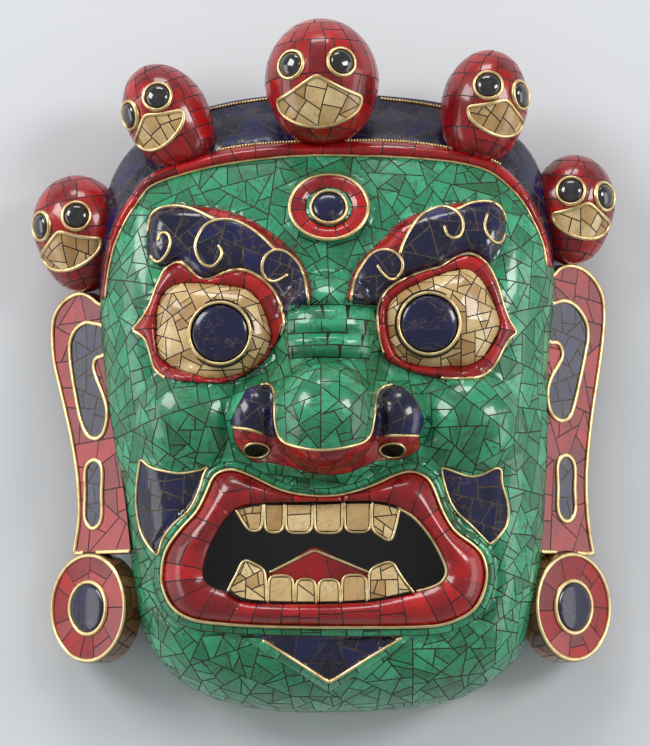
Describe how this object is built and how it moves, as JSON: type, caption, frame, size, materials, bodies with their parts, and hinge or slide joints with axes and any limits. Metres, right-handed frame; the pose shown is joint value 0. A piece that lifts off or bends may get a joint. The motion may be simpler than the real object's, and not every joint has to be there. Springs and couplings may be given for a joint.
{
  "type": "ceremonial mask",
  "caption": "Carved wrathful guardian mask under stone mosaic with brass wire, skull crown, long ears with round discs, open mouth with teeth; hollow behind.",
  "frame": {"origin": "centre of the bounding box on the plane of the flat back rim, on which the mask lies", "axes": "+Z out of the face away from the back rim, +Y to the top of the head, +X to the viewer's right"},
  "size_m": [0.2832, 0.3308, 0.1127],
  "materials": {
    "turquoise": "polished mosaic of blue-green chips in dark resin, lacquered",
    "coral": "polished mosaic of coral-red chips in dark resin, lacquered",
    "lapis": "polished dark blue chips with brassy flecks, lacquered",
    "bone": "polished mosaic of tan bone chips in dark resin, lacquered",
    "onyx": "glossy black cabochons",
    "brass": "worn brass wire, polished flush",
    "wood": "dark stained carved wood, inside and rim"
  },
  "bodies": {
    "root": {"mask_body": "turquoise", "iris_left": "lapis", "iris_left_ring": "brass", "iris_right": "lapis", "iris_right_ring": "brass", "third_eye": "lapis", "third_eye_ring": "brass", "skull_far_left": "coral", "skull_far_left_eye_left": "onyx", "skull_far_left_eye_left_ring": "brass", "skull_far_left_eye_right": "onyx", "skull_far_left_eye_right_ring": "brass", "skull_left": "coral", "skull_left_eye_left": "onyx", "skull_left_eye_left_ring": "brass", "skull_left_eye_right": "onyx", "skull_left_eye_right_ring": "brass", "skull_centre": "coral", "skull_centre_eye_left": "onyx", "skull_centre_eye_left_ring": "brass", "skull_centre_eye_right": "onyx", "skull_centre_eye_right_ring": "brass", "skull_right": "coral", "skull_right_eye_left": "onyx", "skull_right_eye_left_ring": "brass", "skull_right_eye_right": "onyx", "skull_right_eye_right_ring": "brass", "skull_far_right": "coral", "skull_far_right_eye_left": "onyx", "skull_far_right_eye_left_ring": "brass", "skull_far_right_eye_right": "onyx", "skull_far_right_eye_right_ring": "brass", "ear_left": "coral", "ear_disc_left": "coral", "ear_disc_left_rim": "brass", "ear_disc_left_stone": "lapis", "ear_disc_left_stone_ring": "brass", "ear_right": "coral", "ear_disc_right": "coral", "ear_disc_right_rim": "brass", "ear_disc_right_stone": "lapis", "ear_disc_right_stone_ring": "brass", "upper_teeth": "bone", "lower_teeth": "bone", "tongue": "coral"}
  },
  "joints": []
}
